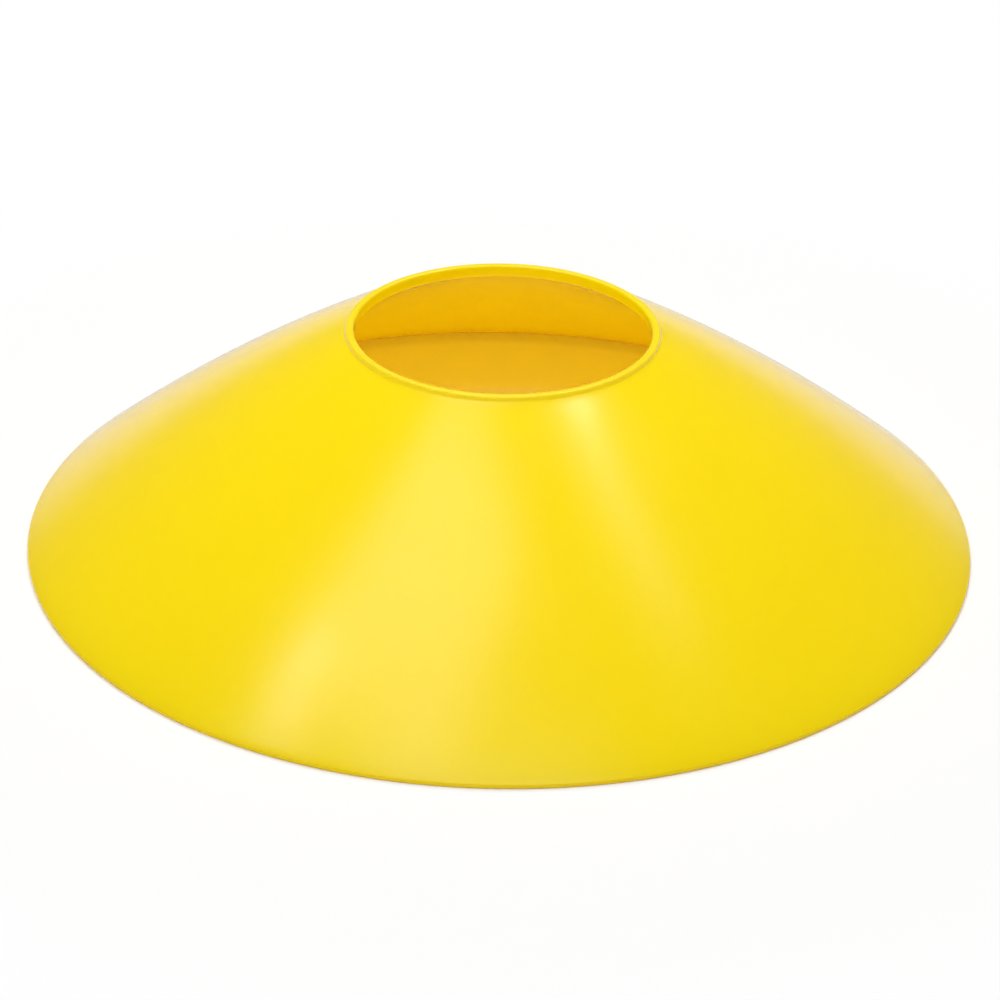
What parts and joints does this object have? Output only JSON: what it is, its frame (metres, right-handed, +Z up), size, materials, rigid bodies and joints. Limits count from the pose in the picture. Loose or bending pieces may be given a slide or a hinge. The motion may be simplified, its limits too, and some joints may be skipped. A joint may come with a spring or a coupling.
{
  "type": "disc marker cone",
  "caption": "Low round hollow training cone, one soft moulded shell, open underneath, with a wide lipped hole in its top.",
  "frame": {"origin": "centre of the foot, on the ground that the disc stands on", "axes": "+Z up along the axis of the disc, through the hole in its top; X and Y are alike, because the disc is round"},
  "size_m": [0.19, 0.19, 0.045],
  "materials": {
    "yellow_plastic": "satin bright yellow low density polyethylene, lets some light through"
  },
  "bodies": {
    "root": {"disc_cone": "yellow_plastic"}
  },
  "joints": []
}
